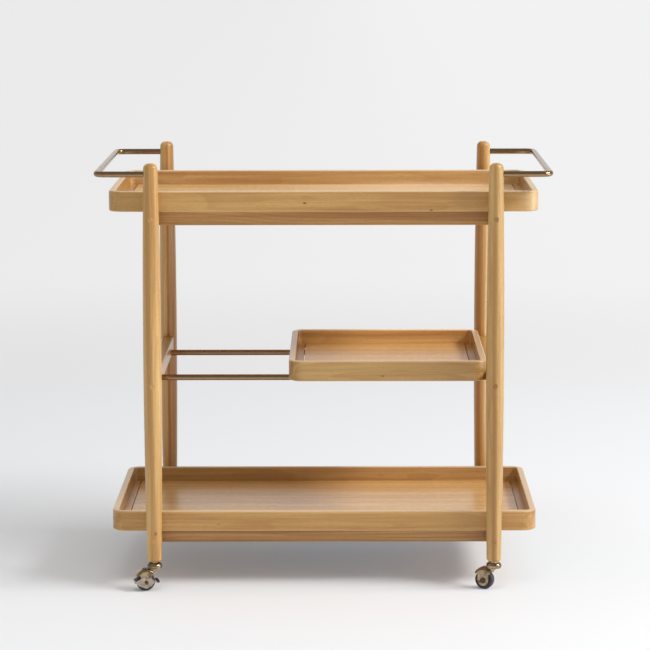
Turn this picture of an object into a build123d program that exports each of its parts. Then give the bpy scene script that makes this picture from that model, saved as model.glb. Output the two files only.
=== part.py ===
from build123d import *
import os

# A bar cart: four turned legs on casters, two long trays, a short middle tray that slides along
# two brass rods, and a brass push handle at each end. Millimetres, +Z up, +X to the right of a
# person facing the cart, -Y towards that person. The origin is on the floor, midway between the legs.

# Overall: how far the long trays run past the legs, how far out in front of them the legs stand, and
# how far the push handles run past the trays
cart_height = 864.0
tray_overhang = 87.5
leg_standoff = 27.5
handle_overhang = 26.5

# Legs: turned, widest at the belly, with a rounded top and foot
leg_belly_radius = 18.2
leg_belly_rise = 411.0
leg_top_taper = 4.2
leg_foot_taper = 3.8
leg_top_round = 11.0
leg_foot_round = 5.0

# Undersides of the three trays: down from the leg tops, and up from the casters and from each other
top_shelf_drop = 100.0
middle_shelf_rise = 305.0
bottom_shelf_rise = 55.0

# Trays
long_tray_length = 859.0
long_tray_depth = 438.0
middle_tray_length = 400.0
middle_tray_inset = 12.0
tray_height = 41.0
tray_wall = 13.0
tray_corner = 28.0
tray_inner_corner = 10.0
tray_outer_round = 3.0
tray_inner_round = 2.0
floor_thickness = 11.0
batten_width = 14.0
floor_gap = 2.0
tongue_depth = 5.0
tongue_thickness = 4.0
tongue_clearance = 0.2

# Stretchers join a front leg to a back leg, rails join the left frame to the right one
stretcher_width = 24.0
stretcher_height = 31.0
stretcher_round = 2.5
middle_stretcher_rise = 21.5
rail_thickness = 22.0
rail_setback = 35.0
rail_round = 2.0

# Brass rods under the middle tray
rod_radius = 6.0
rod_spacing = 302.0
rod_drop = 1.0
rod_socket_depth = 15.0
groove_clearance = 0.4
middle_tray_clearance = 1.2

# Brass push handles
handle_radius = 6.0
handle_drop = 22.0
handle_bend = 18.0
handle_socket_depth = 20.0

# Screws through the legs, and the wooden plugs over their heads
leg_screw_radius = 3.0
leg_screw_length = 64.0
leg_screw_head_radius = 4.8
leg_screw_head_height = 4.5
leg_screw_hex_radius = 2.6
leg_screw_hex_depth = 2.5
leg_hole_clearance = 0.3
counterbore_depth = 12.0
plug_radius = 5.0
plug_depth = 6.0
top_screw_drop = 11.0
middle_screw_rise = 9.5
bottom_screw_drop = 12.0

# Dowels at the ends of the rails, and screws up into the floors of the long trays
dowel_radius = 4.0
dowel_length = 36.0
dowel_spacing = 14.0
dowel_chamfer = 0.8
tray_screw_radius = 2.0
tray_screw_length = 24.0
tray_screw_bite = 8.0
tray_screw_head_radius = 4.0
tray_screw_head_height = 2.4
tray_screw_pocket_radius = 5.0
tray_screw_clearance = 0.2
tray_screw_pitch = 230.0
tray_screws_per_rail = 3

# Casters: a threaded stem in the leg, a ball race under a domed cover, and a hooded fork
caster_height = 59.0
caster_trail = 19.0
insert_radius = 6.0
insert_length = 30.0
stem_radius = 4.0
stem_length = 28.0
stem_flange_radius = 9.0
stem_flange_height = 3.0
kingpin_radius = 3.0
kingpin_head_radius = 4.2
kingpin_head_height = 1.8
cover_radius = 15.5
cover_height = 8.5
cover_wall = 1.3
cover_round = 6.0
ball_radius = 2.3
ball_count = 12
race_width = 4.6
swivel_gap = 0.4
fork_plate_radius = 14.3
fork_plate_height = 2.4
running_clearance = 0.06

# Caster wheel, and the hood over it
wheel_radius = 19.0
tyre_width = 15.0
tyre_thickness = 4.5
tyre_round = 3.5
hub_width = 12.0
hub_recess_depth = 2.0
hub_flange = 2.5
hub_boss_radius = 5.5
hub_boss_gap = 0.5
axle_radius = 2.5
axle_head_radius = 6.2
braked_axle_head_radius = 3.3
axle_head_height = 1.8
axle_head_round = 1.2
axle_hollow_radius = 1.6
axle_hollow_depth = 1.4
hood_gap = 2.4
hood_wall = 1.6
hood_half_width = 12.0
hood_edge_round = 6.0
hood_lead = 1.0
hood_lift = 3.5
hood_front_reach = 15.0
hood_cut_rise = 13.0
cheek_radius = 11.5
neck_width = 15.0
neck_reach = 8.5
neck_foot_rise = 15.0
neck_round = 1.6

# Brake rocker: two plates hung on stub pins above the axle, a pedal, a tail and a pad
brake_pin_radius = 1.75
brake_pin_rise = 8.0
brake_pin_head_radius = 2.4
brake_pin_head_height = 0.7
brake_plate_gap = 0.5
brake_plate = 1.5
brake_plate_top = 11.5
brake_plate_foot = 13.0
brake_crown_reach = 5.0
brake_shoulder_reach = 11.0
brake_shoulder_height = 7.5
brake_neck_reach = 16.0
brake_heel_reach = 15.5
brake_heel_drop = 6.5
brake_window_gap = 1.9
brake_pedal_reach = 27.0
brake_pedal_width = 5.0
brake_tail_reach = 22.0
brake_tail_width = 2.4
brake_bar_height = 2.6
brake_pad_gap = 0.4
brake_pad_width = 11.0
brake_pad_height = 5.0

# The way each wheel trails from its leg, in degrees about +Z from +X
caster_yaw = {
    ("front", "left"): 193.0,
    ("front", "right"): 158.0,
    ("back", "left"): 146.2,
    ("back", "right"): 205.0,
}
braked_side = "left"

# Places worked out from the sizes above
ends = {"front": -1, "back": 1}
sides = {"left": -1, "right": 1}
every_leg = [(end, side) for end in ends for side in sides]
upwards = (0, 0, 1)
leg_spacing_x = long_tray_length - 2 * tray_overhang
leg_spacing_y = long_tray_depth + 2 * leg_standoff
handle_width = long_tray_length + 2 * handle_overhang
leg_x = leg_spacing_x / 2
leg_y = leg_spacing_y / 2
leg_belly_z = caster_height + leg_belly_rise
top_shelf_z = cart_height - top_shelf_drop
bottom_shelf_z = caster_height + bottom_shelf_rise
middle_shelf_z = bottom_shelf_z + middle_shelf_rise
middle_tray_depth = long_tray_depth - 2 * middle_tray_inset
stretcher_face_x = leg_x - stretcher_width / 2
middle_stretcher_z = middle_shelf_z + middle_stretcher_rise - stretcher_height
rail_y = long_tray_depth / 2 - rail_setback - rail_thickness / 2
rod_z = middle_shelf_z - rod_drop
rod_y = rod_spacing / 2
handle_z = cart_height - handle_drop
middle_tray_x = stretcher_face_x - middle_tray_clearance - middle_tray_length / 2
long_shelves = {"top": top_shelf_z, "bottom": bottom_shelf_z}
screw_levels = {
    "top": top_shelf_z - top_screw_drop,
    "middle": middle_stretcher_z + middle_screw_rise,
    "bottom": bottom_shelf_z - bottom_screw_drop,
}
stretcher_levels = {
    "top": top_shelf_z - stretcher_height,
    "middle": middle_stretcher_z,
    "bottom": bottom_shelf_z - stretcher_height,
}
dowel_rises = (stretcher_height / 2 - dowel_spacing / 2, stretcher_height / 2 + dowel_spacing / 2)
middle_of_row = (tray_screws_per_rail - 1) / 2
tray_screw_xs = [(index - middle_of_row) * tray_screw_pitch for index in range(tray_screws_per_rail)]
tray_screw_seat = tray_screw_length - tray_screw_bite

os.makedirs("parts", exist_ok=True)


def rod(start, direction, radius, length, mode=Mode.ADD):
    """A round bar, or a round hole, that runs from a point along a direction."""
    with Locations(Plane(origin=start, z_dir=direction)):
        Cylinder(radius, length, align=(Align.CENTER, Align.CENTER, Align.MIN), mode=mode)


def write_piece(solid, name, place=Location()):
    """Puts a finished piece where it belongs, labels it and writes its file."""
    with BuildPart() as piece:
        with Locations(place):
            add(solid)
    piece.part.label = name
    export_step(piece.part, f"parts/{name}.step")


def gather(solids_and_places):
    """One group of separate solids, from pairs of a solid and its place."""
    with BuildPart() as group:
        for solid, place in solids_and_places:
            with Locations(place):
                add(solid)
    return group.part


def leg_radius(z):
    """Radius of a leg at a height, from the two parabolas of its outline."""
    if z > leg_belly_z:
        taper, reach = leg_top_taper, cart_height - leg_belly_z
    else:
        taper, reach = leg_foot_taper, leg_belly_z - caster_height
    return leg_belly_radius - taper * ((z - leg_belly_z) / reach) ** 2


def leg_place(end, side, turn=0):
    """Where a leg or a caster stands, turned about its own axis."""
    return Location((sides[side] * leg_x, ends[end] * leg_y, 0), (0, 0, turn))


def half_turn(end):
    """The turn that takes a piece made for a front leg to the same side of a back leg."""
    return 180 if end == "back" else 0


# Leg without its holes, standing on its own axis
with BuildPart() as leg_blank:
    with BuildSketch(Plane.XZ):
        with BuildLine():
            belly = (leg_belly_radius, leg_belly_z)
            shoulder = (leg_radius(cart_height), cart_height)
            foot = (leg_radius(caster_height), caster_height)
            Bezier(belly, (leg_belly_radius, (leg_belly_z + cart_height) / 2), shoulder)
            Bezier(belly, (leg_belly_radius, (leg_belly_z + caster_height) / 2), foot)
            Polyline(shoulder, (0, cart_height), (0, caster_height), foot)
        make_face()
    revolve(axis=Axis.Z)
    fillet(leg_blank.edges().group_by(Axis.Z)[-1], leg_top_round)
    fillet(leg_blank.edges().group_by(Axis.Z)[0], leg_foot_round)


def make_leg(end, side):
    """A leg with its caster socket, its handle socket and three screw holes."""
    out_x = sides[side]
    out_y = ends[end]
    surface = leg_radius(handle_z)
    with BuildPart() as leg:
        add(leg_blank.part)
        rod((0, 0, caster_height), upwards, insert_radius, insert_length, Mode.SUBTRACT)
        socket_floor = (out_x * (surface - handle_socket_depth), 0, handle_z)
        rod(socket_floor, (out_x, 0, 0), handle_radius, 2 * surface, Mode.SUBTRACT)
        for screw_z in screw_levels.values():
            seat = (0, out_y * (leg_radius(screw_z) - counterbore_depth), screw_z)
            hole_radius = leg_screw_radius + leg_hole_clearance
            rod(seat, (0, -out_y, 0), hole_radius, 2 * leg_belly_radius, Mode.SUBTRACT)
            rod(seat, (0, out_y, 0), plug_radius, 2 * leg_belly_radius, Mode.SUBTRACT)
    write_piece(leg.part, f"{end}_{side}_leg", leg_place(end, side))


def make_leg_screw(screw_z):
    """A leg screw, as it lies in a front leg."""
    seat_y = counterbore_depth - leg_radius(screw_z)
    with BuildPart() as screw:
        rod((0, seat_y, screw_z), (0, 1, 0), leg_screw_radius, leg_screw_length)
        rod((0, seat_y, screw_z), (0, -1, 0), leg_screw_head_radius, leg_screw_head_height)
        with BuildSketch(Plane.XZ.offset(leg_screw_head_height - seat_y)):
            with Locations((0, screw_z)):
                RegularPolygon(leg_screw_hex_radius, 6)
        extrude(amount=-leg_screw_hex_depth, mode=Mode.SUBTRACT)
    return screw.part


def make_leg_plug(screw_z):
    """A plug over a leg screw, trimmed to the round of a front leg."""
    with BuildPart() as plug:
        rod((0, plug_depth - leg_radius(screw_z), screw_z), (0, -1, 0), plug_radius, 2 * plug_depth)
        add(leg_blank.part, mode=Mode.INTERSECT)
    return plug.part


def on_every_leg(solid):
    """Pairs of a solid made for a front leg and its place on each leg."""
    return [(solid, leg_place(end, side, half_turn(end))) for end, side in every_leg]


for end, side in every_leg:
    make_leg(end, side)

screws = [make_leg_screw(screw_z) for screw_z in screw_levels.values()]
write_piece(gather([pair for screw in screws for pair in on_every_leg(screw)]), "leg_screws")

plugs = [make_leg_plug(screw_z) for screw_z in screw_levels.values()]
write_piece(gather([pair for plug in plugs for pair in on_every_leg(plug)]), "leg_plugs")


def dowel_sockets(z, dowel_y, start_x, direction):
    """Two holes for the dowels at one end of a rail."""
    for rise in dowel_rises:
        start = (start_x, dowel_y, z + rise)
        rod(start, (direction, 0, 0), dowel_radius, dowel_length / 2, Mode.SUBTRACT)


def make_stretcher(level, side):
    """A stretcher from a front leg to a back leg, coped to the round of both."""
    z = stretcher_levels[level]
    out_x = sides[side]
    with BuildPart() as stretcher:
        with BuildSketch(Plane.XY.offset(z)):
            with Locations((out_x * leg_x, 0)):
                Rectangle(stretcher_width, leg_spacing_y)
        extrude(amount=stretcher_height)
        fillet(stretcher.edges().filter_by(Axis.Y), stretcher_round)
        for end in ends:
            with Locations(leg_place(end, side)):
                add(leg_blank.part, mode=Mode.SUBTRACT)
            screw_z = screw_levels[level]
            reach = leg_screw_length + counterbore_depth - leg_radius(screw_z)
            start = (out_x * leg_x, ends[end] * leg_y, screw_z)
            rod(start, (0, -ends[end], 0), leg_screw_radius, reach, Mode.SUBTRACT)
        if level == "middle":
            for rod_side in (-1, 1):
                mouth = (out_x * stretcher_face_x, rod_side * rod_y, rod_z)
                rod(mouth, (out_x, 0, 0), rod_radius, rod_socket_depth, Mode.SUBTRACT)
        else:
            for end in ends:
                dowel_sockets(z, ends[end] * rail_y, out_x * stretcher_face_x, out_x)
    write_piece(stretcher.part, f"{level}_{side}_stretcher")


def make_rail(level, end):
    """A long rail under a tray, from the left frame to the right one."""
    z = long_shelves[level] - stretcher_height
    centre_y = ends[end] * rail_y
    with BuildPart() as rail:
        with BuildSketch(Plane.XY.offset(z)):
            with Locations((0, centre_y)):
                Rectangle(2 * stretcher_face_x, rail_thickness)
        extrude(amount=stretcher_height)
        fillet(rail.edges().filter_by(Axis.X).group_by(Axis.Z)[0], rail_round)
        for side in sides:
            dowel_sockets(z, centre_y, sides[side] * stretcher_face_x, -sides[side])
        for x in tray_screw_xs:
            pocket_depth = stretcher_height - tray_screw_seat
            hole_radius = tray_screw_radius + tray_screw_clearance
            rod((x, centre_y, z), upwards, tray_screw_pocket_radius, pocket_depth, Mode.SUBTRACT)
            rod((x, centre_y, z), upwards, hole_radius, stretcher_height, Mode.SUBTRACT)
    write_piece(rail.part, f"{level}_{end}_rail")


for side in sides:
    for level in stretcher_levels:
        make_stretcher(level, side)
for end in ends:
    for level in long_shelves:
        make_rail(level, end)

# Dowel, centred on the joint between a rail and a stretcher
with BuildPart() as dowel:
    rod((-dowel_length / 2, 0, 0), (1, 0, 0), dowel_radius, dowel_length)
    chamfer(dowel.edges().filter_by(GeomType.CIRCLE), dowel_chamfer)

dowel_places = [
    Location((out_x * stretcher_face_x, out_y * rail_y, shelf_z - stretcher_height + rise))
    for out_x in sides.values()
    for out_y in ends.values()
    for shelf_z in long_shelves.values()
    for rise in dowel_rises
]
write_piece(gather([(dowel.part, place) for place in dowel_places]), "rail_dowels")

# Tray screw, standing on its seat with its tip up
with BuildPart() as tray_screw:
    rod((0, 0, 0), upwards, tray_screw_radius, tray_screw_length)
    rod((0, 0, 0), (0, 0, -1), tray_screw_head_radius, tray_screw_head_height)

tray_screw_places = [
    Location((x, out_y * rail_y, shelf_z - tray_screw_seat))
    for x in tray_screw_xs
    for out_y in ends.values()
    for shelf_z in long_shelves.values()
]
write_piece(gather([(tray_screw.part, place) for place in tray_screw_places]), "tray_screws")


def rod_grooves():
    """Grooves along the underside of the middle tray, in which the brass rods lie."""
    for side_y in (-1, 1):
        start = (-middle_tray_length, side_y * rod_y, -rod_drop)
        groove_radius = rod_radius + groove_clearance
        rod(start, (1, 0, 0), groove_radius, 2 * middle_tray_length, Mode.SUBTRACT)


def make_tray(level, length, depth, place):
    """A tray: a rim, a floor tongued into its long walls, and a batten inside each end."""
    inner_length = length - 2 * tray_wall
    inner_depth = depth - 2 * tray_wall
    floor_length = inner_length - 2 * (batten_width + floor_gap)
    tongue_z = (floor_thickness - tongue_thickness) / 2
    slides = level == "middle"

    with BuildPart() as rim:
        with BuildSketch():
            RectangleRounded(length, depth, tray_corner)
        extrude(amount=tray_height)
        fillet(rim.edges().group_by(Axis.Z)[-1], tray_outer_round)
        fillet(rim.edges().group_by(Axis.Z)[0], tray_outer_round)
        with BuildSketch():
            RectangleRounded(inner_length, inner_depth, tray_inner_corner)
        extrude(amount=tray_height, mode=Mode.SUBTRACT)
        top_loops = rim.faces().sort_by(Axis.Z)[-1].inner_wires()
        fillet(top_loops.edges(), tray_inner_round)
        with BuildSketch(Plane.XY.offset(tongue_z)):
            Rectangle(floor_length, inner_depth + 2 * tongue_depth)
        extrude(amount=tongue_thickness, mode=Mode.SUBTRACT)
        if slides:
            rod_grooves()
    write_piece(rim.part, f"{level}_tray_rim", place)

    with BuildPart() as floor:
        with BuildSketch():
            Rectangle(floor_length, inner_depth)
        extrude(amount=floor_thickness)
        with BuildSketch(Plane.XY.offset(tongue_z)):
            Rectangle(floor_length, inner_depth + 2 * (tongue_depth - tongue_clearance))
        extrude(amount=tongue_thickness)
        if slides:
            rod_grooves()
        else:
            for x in tray_screw_xs:
                for out_y in ends.values():
                    rod((x, out_y * rail_y, 0), upwards, tray_screw_radius, tray_screw_bite, Mode.SUBTRACT)
    write_piece(floor.part, f"{level}_tray_floor", place)

    with BuildPart() as battens:
        with BuildSketch():
            RectangleRounded(inner_length, inner_depth, tray_inner_corner)
            Rectangle(inner_length - 2 * batten_width, inner_depth, mode=Mode.SUBTRACT)
        extrude(amount=floor_thickness)
        if slides:
            rod_grooves()
    write_piece(battens.part, f"{level}_tray_battens", place)


make_tray("top", long_tray_length, long_tray_depth, Location((0, 0, top_shelf_z)))
make_tray("middle", middle_tray_length, middle_tray_depth, Location((middle_tray_x, 0, middle_shelf_z)))
make_tray("bottom", long_tray_length, long_tray_depth, Location((0, 0, bottom_shelf_z)))

# Brass rods from the left middle stretcher to the right one
for end in ends:
    rod_length = 2 * (stretcher_face_x + rod_socket_depth)
    with BuildPart() as brass_rod:
        rod((-rod_length / 2, ends[end] * rod_y, rod_z), (1, 0, 0), rod_radius, rod_length)
    write_piece(brass_rod.part, f"{end}_brass_rod")

# Brass push handles, each a bar bent to a U between a front leg and a back leg
for side in sides:
    out_x = sides[side]
    tip_x = out_x * (leg_x + leg_radius(handle_z) - handle_socket_depth)
    grip_x = out_x * (handle_width / 2 - handle_radius)
    with BuildPart() as handle:
        with BuildLine(Plane.XY.offset(handle_z)) as path:
            FilletPolyline(
                (tip_x, -leg_y),
                (grip_x, -leg_y),
                (grip_x, leg_y),
                (tip_x, leg_y),
                radius=handle_bend,
            )
        with BuildSketch(Plane(origin=path.line @ 0, z_dir=path.line % 0)):
            Circle(handle_radius)
        sweep()
    write_piece(handle.part, f"{side}_handle")

# Heights and widths within a caster, which is made with its swivel axis at the origin and its
# wheel trailing along +X
flange_z = caster_height - stem_flange_height
cover_z = flange_z - cover_height
fork_plate_z = cover_z - swivel_gap - fork_plate_height
race_radius = cover_radius - cover_round
ball_z = flange_z - cover_wall - ball_radius
race_z = ball_z - ball_radius - swivel_gap
kingpin_foot_z = fork_plate_z - kingpin_head_height
hood_radius = wheel_radius + hood_gap + hood_wall
hood_centre = (caster_trail - hood_lead, wheel_radius + hood_lift)
cheek_y = hood_half_width - hood_wall
hood_cut_z = wheel_radius + hood_cut_rise
brake_plate_y = hood_half_width + brake_plate_gap
hub_radius = wheel_radius - tyre_thickness
axle_centre = (caster_trail, wheel_radius)


def drum(radius, half_width, edge_round, centre=axle_centre):
    """A disc across the caster, with rounded rims."""
    with BuildPart() as disc:
        with BuildSketch(Plane.XZ.offset(-half_width)):
            with Locations(centre):
                Circle(radius)
        extrude(amount=2 * half_width)
        fillet(disc.edges().filter_by(GeomType.CIRCLE), edge_round)
    return disc.part


def across(radius, half_length, mode=Mode.ADD, centre=axle_centre):
    """A round bar, or a round hole, across the caster."""
    rod((centre[0], -half_length, centre[1]), (0, 1, 0), radius, 2 * half_length, mode)


# Threaded insert in the leg's foot
with BuildPart() as insert:
    rod((0, 0, caster_height), upwards, insert_radius, insert_length)
    rod((0, 0, caster_height), upwards, stem_radius, insert_length, Mode.SUBTRACT)

# Stem with its hexagon flange, and the kingpin that the fork turns on
with BuildPart() as stem:
    rod((0, 0, flange_z), upwards, stem_radius, stem_flange_height + stem_length)
    with BuildSketch(Plane.XY.offset(flange_z)):
        RegularPolygon(stem_flange_radius, 6)
    extrude(amount=stem_flange_height)
    rod((0, 0, kingpin_foot_z), upwards, kingpin_radius, flange_z - kingpin_foot_z)
    rod((0, 0, kingpin_foot_z), (0, 0, -1), kingpin_head_radius, kingpin_head_height)

# Domed cover over the ball race
with BuildPart() as cover:
    with BuildSketch(Plane.XY.offset(cover_z)):
        Circle(cover_radius)
    extrude(amount=cover_height)
    fillet(cover.edges().group_by(Axis.Z)[-1], cover_round)
    offset(amount=-cover_wall, openings=cover.faces().sort_by(Axis.Z)[0])
    rod((0, 0, cover_z), upwards, kingpin_radius, cover_height, Mode.SUBTRACT)

# Balls of the swivel bearing
with BuildPart() as balls:
    with PolarLocations(race_radius, ball_count):
        with Locations((0, 0, ball_z)):
            Sphere(ball_radius)

# Neck between the swivel plate and the hood
with BuildPart() as neck:
    with BuildSketch(Plane.XZ.offset(-neck_width / 2)):
        with BuildLine():
            Polyline(
                (-neck_reach, fork_plate_z),
                (fork_plate_radius, fork_plate_z),
                (hood_centre[0], hood_centre[1] + hood_radius - hood_wall),
                (caster_trail - hood_front_reach, wheel_radius + neck_foot_rise),
                close=True,
            )
        make_face()
    extrude(amount=neck_width)
    fillet([face.edges().sort_by(Axis.X)[0] for face in neck.faces().filter_by(Axis.Y)], neck_round)

hood_outside = drum(hood_radius, hood_half_width, hood_edge_round, hood_centre)
hood_inside = drum(hood_radius - hood_wall, cheek_y, hood_edge_round - hood_wall, hood_centre)


def make_fork(braked):
    """Swivel plate, neck, and a hood, open in front, whose two round cheeks hold the axle."""
    axle_x, axle_z = axle_centre
    with BuildPart() as fork:
        add(hood_outside)
        with BuildSketch(Plane.XZ):
            with Locations((axle_x - hood_front_reach, hood_cut_z)):
                Rectangle(4 * hood_radius, 4 * hood_radius, align=(Align.MIN, Align.MIN))
            with Locations(axle_centre):
                Circle(cheek_radius)
                Rectangle(2 * cheek_radius, hood_cut_rise, align=(Align.CENTER, Align.MIN))
        extrude(amount=2 * hood_half_width, both=True, mode=Mode.INTERSECT)
        add(neck.part)
        add(hood_inside, mode=Mode.SUBTRACT)
        rod((0, 0, fork_plate_z), upwards, fork_plate_radius, fork_plate_height)
        rod((0, 0, fork_plate_z), upwards, race_radius + race_width / 2, race_z - fork_plate_z)
        pin_hole = kingpin_radius + running_clearance
        rod((0, 0, 0), upwards, pin_hole, caster_height, Mode.SUBTRACT)
        head_hole = kingpin_head_radius + swivel_gap
        rod((0, 0, 0), upwards, head_hole, kingpin_foot_z + swivel_gap, Mode.SUBTRACT)
        across(axle_radius, 2 * hood_half_width, Mode.SUBTRACT)
        if braked:
            pin_z = axle_z + brake_pin_rise
            pin_reach = brake_plate_y + brake_plate + brake_plate_gap
            for out_y in (-1, 1):
                rod((axle_x, out_y * cheek_y, pin_z), (0, out_y, 0), brake_pin_radius, pin_reach - cheek_y)
                head = (axle_x, out_y * pin_reach, pin_z)
                rod(head, (0, out_y, 0), brake_pin_head_radius, brake_pin_head_height)
    return fork.part


def make_axle(head_radius):
    """Axle rivet with a domed, hollow head outside each cheek."""
    with BuildPart() as axle:
        across(axle_radius, hood_half_width)
        for out_y in (-1, 1):
            start = (caster_trail, out_y * hood_half_width, wheel_radius)
            rod(start, (0, out_y, 0), head_radius, axle_head_height)
        rims = axle.edges().filter_by(GeomType.CIRCLE).group_by(Axis.Y)
        fillet([rims[0], rims[-1]], axle_head_round)
        for out_y in (-1, 1):
            start = (caster_trail, out_y * (hood_half_width + axle_head_height), wheel_radius)
            rod(start, (0, -out_y, 0), axle_hollow_radius, axle_hollow_depth, Mode.SUBTRACT)
    return axle.part


# Wheel core, dished on both faces, with a boss that fills the fork
with BuildPart() as hub:
    across(hub_radius, hub_width / 2)
    for out_y in (-1, 1):
        with BuildSketch(Plane.XZ.offset(out_y * hub_width / 2)):
            with Locations(axle_centre):
                Circle(hub_radius - hub_flange)
        extrude(amount=-out_y * hub_recess_depth, mode=Mode.SUBTRACT)
    across(hub_boss_radius, cheek_y - hub_boss_gap)
    across(axle_radius + running_clearance, cheek_y, Mode.SUBTRACT)

# Tyre
with BuildPart() as tyre:
    add(drum(wheel_radius, tyre_width / 2, tyre_round))
    across(hub_radius, tyre_width, Mode.SUBTRACT)


def make_brake():
    """Brake rocker. Its pad bears on the tyre while the rocker lies level."""
    axle_x, axle_z = axle_centre
    half_width = brake_plate_y + brake_plate
    with BuildPart() as brake:
        with BuildSketch(Plane.XZ.offset(-half_width)):
            with BuildLine():
                Polyline(
                    (axle_x + brake_tail_reach, axle_z + brake_bar_height / 2),
                    (axle_x + brake_crown_reach, axle_z + brake_plate_top),
                    (axle_x - brake_shoulder_reach, axle_z + brake_shoulder_height),
                    (axle_x - brake_neck_reach, axle_z + brake_bar_height / 2),
                    (axle_x - brake_pedal_reach, axle_z + brake_bar_height / 2),
                    (axle_x - brake_pedal_reach, axle_z - brake_bar_height / 2),
                    (axle_x - brake_neck_reach, axle_z - brake_bar_height / 2),
                    (axle_x - brake_shoulder_reach, axle_z - brake_shoulder_height),
                    (axle_x, axle_z - brake_plate_foot),
                    (axle_x + brake_heel_reach, axle_z - brake_heel_drop),
                    (axle_x + brake_tail_reach, axle_z - brake_bar_height / 2),
                    close=True,
                )
            make_face()
        extrude(amount=2 * half_width)
        with BuildSketch(Plane.XZ.offset(-brake_plate_y)):
            with Locations(axle_centre):
                Rectangle(2 * brake_pedal_reach, 4 * wheel_radius)
        extrude(amount=2 * brake_plate_y, mode=Mode.SUBTRACT)
        pedal_x = axle_x - brake_pedal_reach + brake_pedal_width / 2
        tail_x = axle_x + brake_tail_reach - brake_tail_width / 2
        with Locations((pedal_x, 0, axle_z)):
            Box(brake_pedal_width, 2 * half_width, brake_bar_height)
        with Locations((tail_x, 0, axle_z)):
            Box(brake_tail_width, 2 * half_width, brake_bar_height)
        pad_x = axle_x + brake_tail_reach - brake_tail_width
        with Locations((pad_x, 0, axle_z + brake_bar_height / 2)):
            Box(
                2 * brake_tail_width,
                brake_pad_width,
                brake_pad_height,
                align=(Align.CENTER, Align.CENTER, Align.MAX),
            )
        across(wheel_radius + brake_pad_gap, brake_plate_y, Mode.SUBTRACT)
        across(braked_axle_head_radius + brake_window_gap, 2 * half_width, Mode.SUBTRACT)
        pin_centre = (axle_x, axle_z + brake_pin_rise)
        across(brake_pin_radius + running_clearance, 2 * half_width, Mode.SUBTRACT, pin_centre)
    return brake.part


forks = {True: make_fork(True), False: make_fork(False)}
axles = {True: make_axle(braked_axle_head_radius), False: make_axle(axle_head_radius)}
brake_rocker = make_brake()

for end, side in every_leg:
    caster = f"{end}_{side}_caster"
    place = leg_place(end, side, caster_yaw[end, side])
    braked = side == braked_side
    write_piece(stem.part, f"{caster}_stem", place)
    write_piece(cover.part, f"{caster}_cover", place)
    write_piece(forks[braked], f"{caster}_fork", place)
    write_piece(axles[braked], f"{caster}_axle", place)
    write_piece(hub.part, f"{caster}_hub", place)
    write_piece(tyre.part, f"{caster}_tyre", place)
    if braked:
        write_piece(brake_rocker, f"{caster}_brake", place)

write_piece(gather(on_every_leg(insert.part)), "caster_inserts")
write_piece(gather(on_every_leg(balls.part)), "swivel_balls")
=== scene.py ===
import bmesh
import bpy
import math
from mathutils import Matrix, Vector


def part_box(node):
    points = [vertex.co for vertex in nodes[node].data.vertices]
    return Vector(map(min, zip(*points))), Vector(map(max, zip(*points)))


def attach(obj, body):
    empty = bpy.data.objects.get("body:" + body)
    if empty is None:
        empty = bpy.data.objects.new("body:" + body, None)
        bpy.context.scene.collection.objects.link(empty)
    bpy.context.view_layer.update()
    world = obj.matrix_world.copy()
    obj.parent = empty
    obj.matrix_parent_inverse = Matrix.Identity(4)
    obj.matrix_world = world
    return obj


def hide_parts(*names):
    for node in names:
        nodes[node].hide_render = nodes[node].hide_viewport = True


# A bar cart in a pale studio: finishes for every solid of the frame, and the small pieces that are
# modelled here. Metres, +Z up, +X to the right of a person facing the cart, -Y towards that person.

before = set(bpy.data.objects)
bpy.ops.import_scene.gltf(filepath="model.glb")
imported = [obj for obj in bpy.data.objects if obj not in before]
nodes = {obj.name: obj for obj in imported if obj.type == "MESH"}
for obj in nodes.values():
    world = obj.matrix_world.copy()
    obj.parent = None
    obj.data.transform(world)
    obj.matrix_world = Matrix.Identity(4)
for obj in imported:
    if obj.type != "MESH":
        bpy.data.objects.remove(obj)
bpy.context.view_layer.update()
ends = ("front", "back")
sides = ("left", "right")
levels = ("top", "middle", "bottom")

# Camera, from the photograph, whose frame is 650 pixels square with its optical centre off the
# middle
photo_width = 650.0
focal_pixels = 2650.0
centre_column = 344.2
centre_row = 273.4
camera_place = Vector((0.0410, -5.4604, 1.3666))
camera_pitch = 0.1377
camera_roll = -0.0011
sensor_width = 36.0

# Light. The lamps aim at the middle of the cart, and the studio lights it evenly from all round.
# Gloss mirrors a darker front and a bright backdrop. Its edge is how far back a direction points
# there, where 1 is straight back
lamp_aim = Vector((0.0, 0.0, 0.45))
studio_strength = 0.46
front_mirrored = 0.31
backdrop_mirrored = 0.82
backdrop_edge = 0.40
backdrop_seen = 0.86

# Floor. The camera sees its paint with a share of glow: floor_lift of it near the cart, and nothing
# but glow from fade_end on, where the floor is the backdrop. The glow grows from left to right
floor_size = 160.0
floor_colour = (0.898, 0.900, 0.914, 1)
floor_roughness = 0.65
floor_gloss = 0.1
floor_lift = 0.10
fade_start = 1.3
fade_end = 4.5
glow_left = 0.83
glow_right = 0.89
glow_reach = 1.6

# Tints of the glow near the cart, which balance the warm light that the wood throws on the floor:
# in the open, under the cart, and in a patch on the lamp's side, which has more glow. The patch's
# start, full and end are along X, its depth along Y. The tints are gone at tint_fade times floor_lift
open_tint = (0.95, 1.07, 1.13)
under_tint = (0.80, 1.36, 1.85)
under_centre = (0.12, 0.05, 0.0)
under_size = (0.80, 0.48, 1.0)
lamp_side_tint = (0.985, 1.040, 1.070)
lamp_side_lift = 0.60
lamp_side_start = 0.31
lamp_side_full = 0.42
lamp_side_end = 1.10
lamp_side_depth = 0.70
tint_fade = 3


def add_node(tree, kind, **settings):
    """A shader node with some of its properties set."""
    made = tree.nodes.new(kind)
    for name, value in settings.items():
        setattr(made, name, value)
    return made


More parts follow.
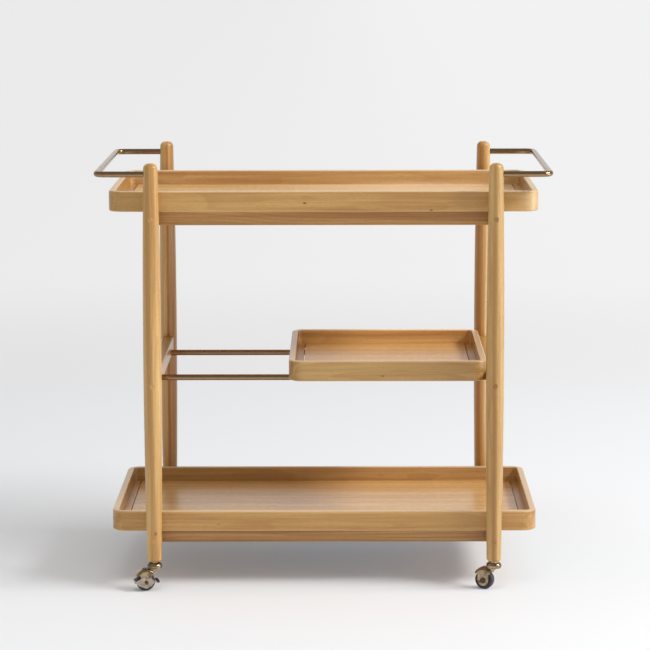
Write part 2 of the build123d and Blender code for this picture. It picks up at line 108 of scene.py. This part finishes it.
def feed(tree, socket, value):
    """Links an output to a socket, or sets the socket to a constant."""
    if isinstance(value, bpy.types.NodeSocket):
        tree.links.new(value, socket)
    else:
        socket.default_value = value


def calculate(tree, operation, first, second=0.0, third=0.0, clamp=False):
    """The output of a Math node."""
    made = add_node(tree, "ShaderNodeMath", operation=operation, use_clamp=clamp)
    for socket, value in zip(made.inputs, (first, second, third)):
        feed(tree, socket, value)
    return made.outputs[0]


def vector_node(tree, operation, first, second=(0.0, 0.0, 0.0)):
    """A Vector Math node."""
    made = add_node(tree, "ShaderNodeVectorMath", operation=operation)
    feed(tree, made.inputs[0], first)
    feed(tree, made.inputs[1], second)
    return made


def how_far(tree, place):
    """How far a place is from the origin."""
    return vector_node(tree, "LENGTH", place).outputs["Value"]


def split_place(tree, place):
    """The three coordinates of a place."""
    made = add_node(tree, "ShaderNodeSeparateXYZ")
    tree.links.new(place, made.inputs[0])
    return made.outputs


def join_place(tree, *parts):
    """A place made of three coordinates."""
    made = add_node(tree, "ShaderNodeCombineXYZ")
    for socket, part in zip(made.inputs, parts):
        feed(tree, socket, part)
    return made.outputs[0]


def noise(tree, place, scale, detail, roughness, distortion=0.0):
    """A noise value from 0 to 1 at a place."""
    made = add_node(tree, "ShaderNodeTexNoise")
    feed(tree, made.inputs["Vector"], place)
    made.inputs["Scale"].default_value = scale
    made.inputs["Detail"].default_value = detail
    made.inputs["Roughness"].default_value = roughness
    made.inputs["Distortion"].default_value = distortion
    return made.outputs["Fac"]


def spread(tree, value, low, high, to_low=0.0, to_high=1.0):
    """A value stretched from one range to another, smooth at both ends."""
    made = add_node(tree, "ShaderNodeMapRange", interpolation_type="SMOOTHSTEP", clamp=True)
    limits = (("From Min", low), ("From Max", high), ("To Min", to_low), ("To Max", to_high))
    for name, number in limits:
        made.inputs[name].default_value = number
    feed(tree, made.inputs["Value"], value)
    return made.outputs["Result"]


def blend_numbers(tree, share, first, second):
    """Two numbers mixed. A Mix node's sockets for numbers are 0, 2 and 3."""
    made = add_node(tree, "ShaderNodeMix")
    for index, value in ((0, share), (2, first), (3, second)):
        feed(tree, made.inputs[index], value)
    return made.outputs[0]


def blend_colours(tree, share, first, second, blend_type="MIX"):
    """Two colours mixed. A Mix node's sockets for colours are 0, 6 and 7, and the third output."""
    made = add_node(tree, "ShaderNodeMix", data_type="RGBA", blend_type=blend_type)
    feed(tree, made.inputs[0], share)
    for index, value in ((6, first), (7, second)):
        feed(tree, made.inputs[index], (*value, 1) if isinstance(value, tuple) else value)
    return made.outputs[2]


def start_material(name):
    """A new material with its tree, its shader and the place on the object in metres."""
    material = bpy.data.materials.new(name)
    material.use_nodes = True
    tree = material.node_tree
    tree.nodes.clear()
    output = add_node(tree, "ShaderNodeOutputMaterial")
    shader = add_node(tree, "ShaderNodeBsdfPrincipled")
    tree.links.new(shader.outputs["BSDF"], output.inputs["Surface"])
    place = add_node(tree, "ShaderNodeTexCoord").outputs["Object"]
    return material, tree, shader, place


def add_bump(tree, shader, height, depth):
    """Relief of a given depth in metres."""
    made = add_node(tree, "ShaderNodeBump")
    made.inputs["Strength"].default_value = 1.0
    made.inputs["Distance"].default_value = depth
    feed(tree, made.inputs["Height"], height)
    tree.links.new(made.outputs["Normal"], shader.inputs["Normal"])


def share_near(tree, place, centre, size):
    """1 at a place, falling to 0 at these distances from it along X, Y and Z."""
    moved = vector_node(tree, "SUBTRACT", place, centre).outputs[0]
    scaled = vector_node(tree, "DIVIDE", moved, size).outputs[0]
    return spread(tree, how_far(tree, scaled), 1.0, 0.0)


# Wood: honey-coloured hardwood under a satin lacquer
wood_light = (0.640, 0.405, 0.160)
wood_middle = (0.500, 0.275, 0.090)
wood_dark = (0.320, 0.140, 0.036)
wood_red = (0.330, 0.110, 0.026)
wood_pore = (0.170, 0.075, 0.022)
# Painted highlight: the pale colour of the lines on lit edges and of the pale lit patches
wood_highlight = (0.820, 0.620, 0.400)
wood_knot = (0.110, 0.045, 0.014)
coat = 0.75
coat_roughness = 0.32
bare_gloss = 0.15
satin = 0.36
floor_satin = 0.26

# Its noises: their scales along X, Y and Z where X is the grain, their detail, their roughness and
# their distortion
wood_noises = {"wander": ((1.3, 9.0, 9.0), 3.0, 0.55, 0.0),
               "streak": ((3.5, 190.0, 190.0), 4.0, 0.6, 0.0),
               "band": ((1.1, 75.0, 75.0), 2.0, 0.5, 0.3),
               "figure": ((2.2, 26.0, 26.0), 3.0, 0.5, 0.4),
               "fibre": ((60.0, 2200.0, 2200.0), 2.0, 0.6, 0.0),
               "pore": ((150.0, 3600.0, 3600.0), 1.0, 0.5, 0.0)}

# The range of each noise that tells, and how far it darkens the colour
figure_range = (0.28, 0.74)
band_range = (0.46, 0.66)
band_share = 0.48
streak_range = (0.42, 0.78)
streak_share = 0.42
pore_range = (0.60, 0.74)
pore_share = 0.55
fibre_range = (0.25, 0.75)
fibre_tones = (0.93, 1.06)

# Growth rings: each is pale up to ring_start of its width and darkest at ring_peak, and its pores
# are sparser in the dark part
ring_width = 0.0055
ring_wander = 0.05
ring_start = 0.35
ring_peak = 0.93
late_wood_share = 0.26
pore_dense_at = 0.3
pore_sparse_at = 0.9
pore_sparse = 0.35

# Gloss and relief follow the fibres, the pores and the rings
fibre_roughness = 0.14
fibre_smooth = 0.06
pore_roughness = 0.18
fibre_relief = 0.35
late_wood_relief = 0.25
wood_relief = 0.00010

# Marks are broken up by the bands, and edges get a pale line of painted highlight. The painted light
# on a rim's back board starts this far in from the back, and takes a seam's width to change
mark_base = 0.55
mark_uneven = 0.9
edge_highlight_width = 0.0036
edge_highlight_share = 0.60
back_board_depth = 0.032
board_seam = 0.012

# Tones of the boards, and where the pith lies off each piece
rim_tones = {"top": (1.00, 0.96, 0.82), "middle": (0.88, 0.85, 0.75), "bottom": (1.02, 0.98, 0.85)}
# Back board tones are painted light: the rims' back walls are paler, as where light and bounce from
# the floor fall on them
back_wall_light_tones = {"top": (1.12, 1.16, 1.30), "middle": (1.40, 1.45, 1.50),
                    "bottom": (1.04, 1.02, 1.05)}
# Floor tones are partly painted light: the floors are paler than the rims, as tops that catch more
# light and sheen, and the top tray's floor palest and bluest, as the most lit
floor_tones_and_light = {"top": (1.46, 1.56, 1.72), "middle": (1.34, 1.36, 1.38),
               "bottom": (1.34, 1.34, 1.30)}
rail_tones = {"top": (0.99, 0.90, 0.75), "bottom": (0.93, 0.84, 0.70)}
stretcher_tone = (1.02, 0.97, 0.82)
batten_tone = (1.05, 1.02, 0.98)
plug_tone = (1.15, 1.12, 1.02)
dowel_tone = (1.20, 1.22, 1.25)
stretcher_pith = (0.05, -0.06)
rail_pith = (0.07, 0.05)
rim_pith = (0.9, 0.04)
floor_pith = (0.03, 0.14)
batten_pith = (0.9, 0.11)
plug_pith = (0.2, 0.1)
dowel_pith = (0.02, 0.02)

# Legs: pith, tone, and dark stripes along them, each with its offset to the right, its half width,
# its colour and its share
leg_looks = {
    ("front", "left"): ((0.31, 0.30), (1.25, 1.30, 1.24),
                        ((-0.004, 0.0045, wood_dark, 0.30),)),
    # The front right leg's tone is lower: painted shade, darkening the leg that the key lamp lights
    # most
    ("front", "right"): ((-0.36, 0.21), (1.14, 1.21, 1.17),
                         ((-0.001, 0.0080, wood_dark, 0.74), (0.011, 0.0090, wood_dark, 0.22))),
    ("back", "left"): ((0.38, -0.29), (1.14, 1.18, 1.12),
                       ((0.001, 0.0050, wood_red, 0.75), (0.011, 0.0080, wood_dark, 0.65))),
    ("back", "right"): ((-0.30, -0.20), (1.30, 1.36, 1.34),
                        ((-0.007, 0.0080, wood_dark, 0.75),))}
stripe_depth = 1.0
stripe_height = 4.0

# Knots, and painted highlights: pale patches where light from the lamp's side pales the top tray's
# rim corner, back wall and floor
leg_knots = {("back", "right"): ((0.342, 0.246, 0.437),),
             ("front", "left"): ((-0.338, -0.246, 0.118),)}
leg_knot_size = (0.0045, 0.05, 0.0060)
leg_knot_share = 0.9
rim_knots = {"top": ((-0.0375, -0.218, 0.7814), (0.2146, -0.218, 0.7670)),
             "middle": ((0.118, -0.206, 0.430),), "bottom": ((-0.214, -0.218, 0.128),)}
rim_knot_size = (0.0060, 0.02, 0.0030)
rim_knot_shares = {"top": 1.1, "middle": 0.8, "bottom": 0.45}
plug_mark_size = (0.2, 1.0, 2.0)
plug_mark_share = 0.80
rim_painted_highlights = {"top": (((0.425, -0.215, 0.784), (0.050, 0.060, 0.050), wood_highlight, 0.60),
                      ((0.215, 0.212, 0.771), (0.230, 0.030, 0.015), wood_highlight, 0.75))}
floor_painted_highlights = {"top": (((0.200, 0.080, 0.760), (0.480, 0.450, 0.100), wood_highlight, 0.42),)}


def grain_parts(tree, place, grain):
    """Coordinates along the grain and across it.

    A straight piece's grain is the name of its axis. The grain of a tray's rim turns at the mitres,
    and is given as the rim's centre along X, its length and its depth.
    """
    x, y, z = split_place(tree, place)
    straight = {"X": (x, y, z), "Y": (y, x, z), "Z": (z, x, y)}
    if grain in straight:
        return straight[grain]
    centre_x, length, depth = grain
    from_side = calculate(tree, "ABSOLUTE", calculate(tree, "SUBTRACT", x, centre_x))
    from_end = calculate(tree, "ABSOLUTE", y)
    past_mitre = calculate(tree, "SUBTRACT", from_side, (length - depth) / 2)
    end_wall = calculate(tree, "GREATER_THAN", past_mitre, from_end)
    return blend_numbers(tree, end_wall, x, y), blend_numbers(tree, end_wall, y, x), z


def wood(name, grain, pith, tone, shift, contrast=1.0, roughness=satin, marks=(), edges=(),
         back_light_tone=None, back_from=0.0):
    """Wood whose rings centre on a pith that lies this far off the piece, across the grain.

    The tone multiplies its red, green and blue, and the shift along the grain gives each piece its
    own figure. A mark is a stripe, a knot or a pale patch of painted highlight: its centre, its half
    sizes, its colour and its share. The edges are the heights of edges that get a pale line of
    painted highlight. Wood further back than back_from takes the back tone instead: painted light
    that makes a rim's back wall paler, as where light and bounce from the floor fall on it.
    """
    material, tree, shader, place = start_material(name)
    along, across, rise = grain_parts(tree, place, grain)
    parts = (calculate(tree, "ADD", along, shift), across, rise)

    def wood_noise(kind):
        """One of the wood's noises, drawn out along the grain."""
        factors, *settings = wood_noises[kind]
        stretched = [calculate(tree, "MULTIPLY", *pair) for pair in zip(parts, factors)]
        return noise(tree, join_place(tree, *stretched), 1.0, *settings)

    band, fibre = wood_noise("band"), wood_noise("fibre")

    from_pith = join_place(tree, 0.0, calculate(tree, "ADD", across, pith[0]),
                           calculate(tree, "ADD", rise, pith[1]))
    bent = calculate(tree, "MULTIPLY_ADD", wood_noise("wander"), ring_wander,
                     how_far(tree, from_pith))
    turns = calculate(tree, "FRACT", calculate(tree, "DIVIDE", bent, ring_width))
    late_wood = calculate(tree, "MULTIPLY", spread(tree, turns, ring_start, ring_peak),
                          spread(tree, turns, 1.0, ring_peak))
    pores = calculate(tree, "MULTIPLY", spread(tree, wood_noise("pore"), *pore_range),
                      spread(tree, turns, pore_sparse_at, pore_dense_at, pore_sparse, 1.0))

    figure = spread(tree, wood_noise("figure"), *figure_range)
    bands = spread(tree, band, *band_range)
    streaks = spread(tree, wood_noise("streak"), *streak_range)
    colour = blend_colours(tree, figure, wood_light, wood_middle)
    for darker, share in ((bands, band_share), (streaks, streak_share),
                          (late_wood, late_wood_share)):
        darkened = calculate(tree, "MULTIPLY", darker, share * contrast)
        colour = blend_colours(tree, darkened, colour, wood_dark)
    # Marks: stripes and knots in the wood, and pale patches of painted highlight
    for centre, size, tint, share in marks:
        ragged = calculate(tree, "MULTIPLY_ADD", band, mark_uneven, mark_base)
        near = calculate(tree, "MULTIPLY", share_near(tree, place, centre, size), ragged)
        marked = calculate(tree, "MULTIPLY", near, share, clamp=True)
        colour = blend_colours(tree, marked, colour, tint)
    colour = blend_colours(tree, calculate(tree, "MULTIPLY", pores, pore_share), colour, wood_pore)
    # Painted highlight: a pale line along each edge at these heights, where it catches the light
    for height in edges:
        off_edge = calculate(tree, "ABSOLUTE", calculate(tree, "SUBTRACT", rise, height))
        highlit = calculate(tree, "MULTIPLY", spread(tree, off_edge, edge_highlight_width, 0.0), edge_highlight_share)
        colour = blend_colours(tree, highlit, colour, wood_highlight)

    fibre_tone = spread(tree, fibre, *fibre_range, *fibre_tones)
    # Painted light: where a back tone is given, wood from back_from back takes it, paling a rim's
    # back wall
    back = split_place(tree, place)[1]
    shades = [calculate(tree, "MULTIPLY", fibre_tone,
                        spread(tree, back, back_from, back_from + board_seam, *pair))
              for pair in zip(tone, back_light_tone or tone)]
    colour = blend_colours(tree, 1.0, colour, join_place(tree, *shades), "MULTIPLY")
    tree.links.new(colour, shader.inputs["Base Color"])

    shader.inputs["Specular IOR Level"].default_value = bare_gloss
    shader.inputs["Coat Weight"].default_value = coat
    shader.inputs["Coat Roughness"].default_value = coat_roughness
    sheen = calculate(tree, "MULTIPLY_ADD", fibre, fibre_roughness, roughness - fibre_smooth)
    tree.links.new(calculate(tree, "MULTIPLY_ADD", pores, pore_roughness, sheen),
                   shader.inputs["Roughness"])
    relief = calculate(tree, "MULTIPLY", fibre, fibre_relief)
    relief = calculate(tree, "MULTIPLY_ADD", pores, -1.0, relief)
    relief = calculate(tree, "MULTIPLY_ADD", late_wood, late_wood_relief, relief)
    add_bump(tree, shader, relief, wood_relief)
    return material


def dress(node_name, material):
    """Gives a CAD node its finish."""
    mesh = nodes[node_name].data
    mesh.materials.clear()
    mesh.materials.append(material)


def dress_legs():
    """Finishes for the legs, their plugs, and the stretchers that join them front to back."""
    for count, (key, (pith, tone, stripes)) in enumerate(leg_looks.items()):
        end, side = key
        low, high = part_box(f"{end}_{side}_leg")
        centre = (low + high) / 2
        marks = [((centre.x + off, centre.y, centre.z), (width, stripe_depth, stripe_height),
                  tint, share) for off, width, tint, share in stripes]
        marks += [(spot, leg_knot_size, wood_knot, leg_knot_share)
                  for spot in leg_knots.get(key, ())]
        dress(f"{end}_{side}_leg",
              wood(f"leg wood {end} {side}", "Z", pith, tone, shift=1.7 * count, contrast=1.2,
                   marks=marks))
    for count, side in enumerate(sides):
        for step, level in enumerate(levels):
            low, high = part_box(f"{level}_{side}_stretcher")
            pith = (stretcher_pith[0] - (low.x + high.x) / 2, stretcher_pith[1] - low.z)
            dress(f"{level}_{side}_stretcher",
                  wood(f"stretcher wood {level} {side}", "Y", pith, stretcher_tone,
                       shift=2.3 * count + 0.9 * step))
    low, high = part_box("leg_plugs")
    plug_mark = ((high.x, 0.0, (low.z + high.z) / 2), plug_mark_size, wood_knot, plug_mark_share)
    dress("leg_plugs", wood("plug wood", "Y", plug_pith, plug_tone, shift=8.3, marks=(plug_mark,)))


def dress_trays():
    """Finishes for the trays, the rails that carry them, and the dowels in the rails."""
    for count, end in enumerate(ends):
        for step, level in enumerate(rail_tones):
            low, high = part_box(f"{level}_{end}_rail")
            pith = (rail_pith[0] - (low.y + high.y) / 2, rail_pith[1] - low.z)
            dress(f"{level}_{end}_rail",
                  wood(f"rail wood {level} {end}", "X", pith, rail_tones[level],
                       shift=3.1 * count + 1.3 * step, contrast=1.3))
    for step, level in enumerate(levels):
        low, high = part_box(f"{level}_tray_rim")
        rim_grain = ((low.x + high.x) / 2, high.x - low.x, high.y - low.y)
        knots = [(spot, rim_knot_size, wood_knot, rim_knot_shares[level])
                 for spot in rim_knots[level]]
        # Rims: painted highlights on their edges and pale patches, and painted light on the back
        # board
        dress(f"{level}_tray_rim",
              wood(f"rim wood {level}", rim_grain, (rim_pith[0], rim_pith[1] - low.z),
                   rim_tones[level], shift=4.4 + step, marks=(*knots, *rim_painted_highlights.get(level, ())),
                   edges=(low.z, high.z), back_light_tone=back_wall_light_tones[level],
                   back_from=high.y - back_board_depth))
        # Floors: their tones partly painted light, with a pale patch of painted light on the top one
        dress(f"{level}_tray_floor",
              wood(f"floor wood {level}", "X", (floor_pith[0], floor_pith[1] - low.z),
                   floor_tones_and_light[level], shift=6.1 + step, contrast=0.6, roughness=floor_satin,
                   marks=floor_painted_highlights.get(level, ())))
        dress(f"{level}_tray_battens",
              wood(f"batten wood {level}", "Y", (batten_pith[0], batten_pith[1] - low.z),
                   batten_tone, shift=7.7 + step, contrast=0.8))
    dress("rail_dowels", wood("dowel wood", "X", dowel_pith, dowel_tone, shift=9.1))


# Metal, rubber and plastic: the scale, detail and roughness of their noises, the range of each that
# tells, and what it does
patina_noise = (90.0, 4.0, 0.6)
patina_range = (0.35, 0.75)
patina_roughness = 0.12
grit_noise = (900.0, 3.0, 0.6)
grit_range = (0.62, 0.80)
skin_noise = (1600.0, 3.0, 0.6)
skin_relief = 0.00004
dust_noise = (70.0, 4.0, 0.6)
dust_range = (0.40, 0.80)
dust_share = 0.6
dust_roughness = 0.15
dust_roughness_range = (0.3, 0.7)


def metal(name, colour, patina, roughness, wear=0.5, grit=0.15):
    """Metal with an uneven patina, and with a fine grit that darkens it by this share."""
    material, tree, shader, place = start_material(name)
    cloud = noise(tree, place, *patina_noise)
    share = calculate(tree, "MULTIPLY", spread(tree, cloud, *patina_range), wear)
    tinted = blend_colours(tree, share, colour, patina)
    if grit:
        speck = noise(tree, place, *grit_noise)
        tinted = blend_colours(tree, spread(tree, speck, *grit_range, 0.0, grit), tinted, patina)
    tree.links.new(tinted, shader.inputs["Base Color"])
    tree.links.new(calculate(tree, "MULTIPLY_ADD", share, patina_roughness, roughness),
                   shader.inputs["Roughness"])
    shader.inputs["Metallic"].default_value = 1.0
    return material


def moulded(name, colour, dusty, roughness):
    """Rubber or plastic with a fine moulded skin and a little dust."""
    material, tree, shader, place = start_material(name)
    cloud = noise(tree, place, *dust_noise)
    dust = spread(tree, cloud, *dust_range, 0.0, dust_share)
    tree.links.new(blend_colours(tree, dust, colour, dusty), shader.inputs["Base Color"])
    dull = spread(tree, cloud, *dust_roughness_range, roughness, roughness + dust_roughness)
    tree.links.new(dull, shader.inputs["Roughness"])
    add_bump(tree, shader, noise(tree, place, *skin_noise), skin_relief)
    return material


# Caster details: cast forks with soft edges, pressed brake plates with rounded ones, and a ribbed
# rubber sleeve on each brake pedal. The sleeve's near and far sides are distances from the axle
cast_voxel = 0.00042
cast_smoothing = 4
cast_share_kept = 0.30
brake_edge_round = 0.00035
brake_edge_segments = 2
brake_edge_angle = 40
sleeve_near = 0.0212
sleeve_far = 0.0274
sleeve_half_width = 0.0147
sleeve_half_height = 0.0021
sleeve_ribs = 11
sleeve_stations = 4 * sleeve_ribs
sleeve_corners = 16
sleeve_squareness = 0.5
rib_depth = 0.07
sleeve_end_size = 0.65
sleeve_end_power = 14


def add_piece(name, mesh, material, body):
    """A new piece with smooth shading and a finish, which rides on a body."""
    piece = bpy.data.objects.new(name, mesh)
    bpy.context.scene.collection.objects.link(piece)
    mesh.materials.clear()
    mesh.materials.append(material)
    mesh.polygons.foreach_set("use_smooth", [True] * len(mesh.polygons))
    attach(piece, body)
    return piece


def round_edges(node_name):
    """Rounds the sharp edges of a brake's shown surface."""
    modifier = nodes[node_name].modifiers.new("edge rounds", "BEVEL")
    modifier.width = brake_edge_round
    modifier.segments = brake_edge_segments
    modifier.limit_method = "ANGLE"
    modifier.angle_limit = math.radians(brake_edge_angle)


def cast_fork(end, side, material):
    """The fork as a casting: its CAD shape with all its edges softened."""
    node = f"{end}_{side}_caster_fork"
    draft = bpy.data.objects.new("draft", nodes[node].data.copy())
    bpy.context.scene.collection.objects.link(draft)
    remesh = draft.modifiers.new("skin", "REMESH")
    remesh.mode = "VOXEL"
    remesh.voxel_size = cast_voxel
    smooth = draft.modifiers.new("soft edges", "SMOOTH")
    smooth.iterations = cast_smoothing
    decimate = draft.modifiers.new("fewer faces", "DECIMATE")
    decimate.ratio = cast_share_kept
    shown = draft.evaluated_get(bpy.context.evaluated_depsgraph_get())
    mesh = bpy.data.meshes.new_from_object(shown)
    bpy.data.objects.remove(draft)
    piece = add_piece(f"{end}_{side}_fork_casting", mesh, material, f"{end}_{side}_swivel")
    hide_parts(node)


def box_centre(node_name):
    """The middle of a CAD node's box."""
    low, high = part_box(node_name)
    return (low + high) / 2


def rounded(value, half_size):
    """A sine or cosine that is drawn out towards the corners of a box of this half size."""
    return math.copysign(abs(value) ** sleeve_squareness, value) * half_size


def pedal_sleeve(end, material):
    """A ribbed rubber sleeve over the brake's pedal bar, on the stem's side of the wheel's axle."""
    axle = box_centre(f"{end}_left_caster_axle")
    forward = box_centre(f"{end}_left_caster_cover") - axle
    forward.z = 0.0
    forward.normalize()
    sideways = Vector((-forward.y, forward.x, 0.0))
    half_depth = (sleeve_far - sleeve_near) / 2
    centre = axle + forward * (sleeve_near + half_depth)
    shape = bmesh.new()
    rings = []
    for station in range(sleeve_stations + 1):
        across = -1 + 2 * station / sleeve_stations
        rib = math.cos(2 * math.pi * sleeve_ribs * station / sleeve_stations)
        size = 1 - rib_depth + rib_depth * rib
        size *= (1 - abs(across) ** sleeve_end_power) * (1 - sleeve_end_size) + sleeve_end_size
        ring = []
        for corner in range(sleeve_corners):
            turn = 2 * math.pi * corner / sleeve_corners
            out = rounded(math.cos(turn), half_depth) * size
            up = rounded(math.sin(turn), sleeve_half_height) * size
            ring.append(shape.verts.new(centre + forward * out + Vector((0, 0, up))
                                        + sideways * across * sleeve_half_width))
        rings.append(ring)
    for ring, following in zip(rings, rings[1:]):
        for corner in range(sleeve_corners):
            next_corner = (corner + 1) % sleeve_corners
            shape.faces.new((ring[corner], ring[next_corner], following[next_corner],
                             following[corner]))
    shape.faces.new(rings[0])
    shape.faces.new(rings[-1])
    bmesh.ops.recalc_face_normals(shape, faces=shape.faces)
    mesh = bpy.data.meshes.new(f"{end} pedal sleeve")
    shape.to_mesh(mesh)
    shape.free()
    add_piece(f"{end}_left_pedal_sleeve", mesh, material, f"{end}_left_brake")


def dress_metal():
    """Finishes for the bars, rods and fasteners, and for the casters with their brakes."""
    bar_brass = metal("bar brass", (0.352, 0.230, 0.124), (0.262, 0.160, 0.086), 0.15, grit=0)
    caster_brass = metal("caster brass", (0.470, 0.360, 0.220), (0.100, 0.062, 0.042), 0.17,
                         wear=0.9)
    brake_plate = metal("brake plate", (0.510, 0.455, 0.375), (0.250, 0.200, 0.145), 0.28,
                        wear=0.7)
    # The axle's head is painted shade: near black, standing for the shaded hole at the wheel's middle
    dark_axle_head = metal("axle head painted dark", (0.100, 0.076, 0.056), (0.052, 0.038, 0.030), 0.32)
    zinc = metal("zinc plate", (0.640, 0.640, 0.650), (0.420, 0.420, 0.430), 0.32)
    ball_steel = metal("ball steel", (0.760, 0.760, 0.770), (0.600, 0.600, 0.610), 0.10, wear=0.3)
    tyre_rubber = moulded("tyre rubber", (0.036, 0.028, 0.037), (0.078, 0.064, 0.080), 0.38)
    core_plastic = moulded("wheel core", (0.045, 0.038, 0.044), (0.080, 0.070, 0.074), 0.42)
    for name in ("left_handle", "right_handle", "front_brass_rod", "back_brass_rod"):
        dress(name, bar_brass)
    for name in ("leg_screws", "tray_screws", "caster_inserts"):
        dress(name, zinc)
    dress("swivel_balls", ball_steel)
    caster_finishes = {"stem": caster_brass, "cover": caster_brass, "axle": dark_axle_head,
                       "hub": core_plastic, "tyre": tyre_rubber}
    for end in ends:
        for side in sides:
            for part, finish in caster_finishes.items():
                dress(f"{end}_{side}_caster_{part}", finish)
            cast_fork(end, side, caster_brass)
    for end in ends:
        dress(f"{end}_left_caster_brake", brake_plate)
        round_edges(f"{end}_left_caster_brake")
        pedal_sleeve(end, tyre_rubber)


def make_camera():
    """Camera at the photograph's place, with the photograph's optical centre."""
    data = bpy.data.cameras.new("camera")
    camera = bpy.data.objects.new("camera", data)
    bpy.context.scene.collection.objects.link(camera)
    bpy.context.scene.camera = camera
    camera.location = camera_place
    tilt = Matrix.Rotation(math.pi / 2 - camera_pitch, 3, "X")
    camera.rotation_euler = (tilt @ Matrix.Rotation(camera_roll, 3, "Z")).to_euler()
    data.sensor_width = sensor_width
    data.lens = focal_pixels / photo_width * sensor_width
    data.shift_x = (photo_width / 2 - centre_column) / photo_width
    data.shift_y = (centre_row - photo_width / 2) / photo_width
    data.clip_end = 2 * floor_size


def make_lamp(name, side_angle, height_angle, distance, width, height, irradiance, mirrored=True,
              diffused=True):
    """A soft box that faces the cart and lights it with this irradiance, in watts a square metre.

    Its angles are from the front towards the right, and up from the floor.
    """
    turn, rise = math.radians(side_angle), math.radians(height_angle)
    towards = Vector((math.sin(turn) * math.cos(rise), -math.cos(turn) * math.cos(rise),
                      math.sin(rise)))
    data = bpy.data.lights.new(name, "AREA")
    data.shape = "RECTANGLE"
    data.size = width
    data.size_y = height
    data.energy = irradiance * math.pi * distance ** 2
    lamp = bpy.data.objects.new(name, data)
    lamp.visible_camera = False
    lamp.visible_glossy = mirrored
    lamp.visible_diffuse = diffused
    bpy.context.scene.collection.objects.link(lamp)
    lamp.location = lamp_aim + towards * distance
    lamp.rotation_euler = towards.to_track_quat("Z", "Y").to_euler()


def make_studio():
    """An even pale studio, of which the camera sees the backdrop, and gloss the front as well."""
    world = bpy.data.worlds.new("studio")
    bpy.context.scene.world = world
    world.use_nodes = True
    tree = world.node_tree
    tree.nodes.clear()
    output = add_node(tree, "ShaderNodeOutputWorld")
    background = add_node(tree, "ShaderNodeBackground")
    tree.links.new(background.outputs[0], output.inputs["Surface"])
    background.inputs["Color"].default_value = (1, 1, 1, 1)
    direction = add_node(tree, "ShaderNodeTexCoord").outputs["Generated"]
    towards_back = split_place(tree, direction)[1]
    mirrored = spread(tree, towards_back, backdrop_edge, 1.0, front_mirrored, backdrop_mirrored)
    path = add_node(tree, "ShaderNodeLightPath").outputs
    strength = blend_numbers(tree, path["Is Glossy Ray"], studio_strength, mirrored)
    direct = calculate(tree, "MAXIMUM", path["Is Camera Ray"], path["Is Transmission Ray"])
    tree.links.new(blend_numbers(tree, direct, strength, backdrop_seen),
                   background.inputs["Strength"])


def make_floor():
    """A plain pale floor, which keeps the shadow and turns into an even backdrop further away."""
    half = floor_size / 2
    mesh = bpy.data.meshes.new("floor")
    corners = [(-half, -half, 0), (half, -half, 0), (half, half, 0), (-half, half, 0)]
    mesh.from_pydata(corners, [], [(0, 1, 2, 3)])
    floor = bpy.data.objects.new("floor", mesh)
    bpy.context.scene.collection.objects.link(floor)
    material, tree, shader, place = start_material("floor paint")
    shader.inputs["Roughness"].default_value = floor_roughness
    shader.inputs["Base Color"].default_value = floor_colour
    shader.inputs["Specular IOR Level"].default_value = floor_gloss

    x, y, _ = split_place(tree, place)
    fade = spread(tree, how_far(tree, place), fade_start, fade_end, floor_lift, 1.0)
    lamp_side = calculate(tree, "MULTIPLY",
                          spread(tree, x, lamp_side_start, lamp_side_full, 0.0, lamp_side_lift),
                          spread(tree, x, lamp_side_end, lamp_side_full))
    lamp_side = calculate(tree, "MULTIPLY", lamp_side,
                          spread(tree, calculate(tree, "ABSOLUTE", y), lamp_side_depth, 0.0))
    path = add_node(tree, "ShaderNodeLightPath").outputs
    seen = calculate(tree, "MAXIMUM", path["Is Camera Ray"], path["Is Glossy Ray"])
    seen = calculate(tree, "MAXIMUM", seen, path["Is Transmission Ray"])
    share = calculate(tree, "MULTIPLY", seen, calculate(tree, "MAXIMUM", fade, lamp_side))

    under = share_near(tree, place, under_centre, under_size)
    tint = blend_colours(tree, under, open_tint, under_tint)
    on_lamp_side = spread(tree, lamp_side, 0.0, lamp_side_lift / 2)
    tint = blend_colours(tree, on_lamp_side, tint, lamp_side_tint)
    whiten = spread(tree, fade, floor_lift, tint_fade * floor_lift)
    glow = add_node(tree, "ShaderNodeEmission")
    feed(tree, glow.inputs["Color"], blend_colours(tree, whiten, tint, (1.0, 1.0, 1.0)))
    feed(tree, glow.inputs["Strength"],
         spread(tree, x, -glow_reach, glow_reach, glow_left, glow_right))
    mixed = add_node(tree, "ShaderNodeMixShader")
    for socket, value in zip(mixed.inputs, (share, shader.outputs[0], glow.outputs[0])):
        tree.links.new(value, socket)
    output = next(node for node in tree.nodes if node.type == "OUTPUT_MATERIAL")
    tree.links.new(mixed.outputs[0], output.inputs["Surface"])
    mesh.materials.append(material)


# A large key lamp on the right, a little in front, a weaker lamp above, and a strip near the floor
# that only gloss shows
make_camera()
make_lamp("key lamp", side_angle=73, height_angle=37, distance=8.0, width=4.4, height=1.5,
          irradiance=2.56)
make_lamp("top lamp", side_angle=-5, height_angle=70, distance=6.0, width=2.6, height=2.6,
          irradiance=0.50, mirrored=False)
make_lamp("low strip", side_angle=73, height_angle=2, distance=2.4, width=1.1, height=1.0,
          irradiance=0.66, diffused=False)
make_studio()
make_floor()
dress_legs()
dress_trays()
dress_metal()
bpy.context.scene.view_settings.view_transform = "Standard"
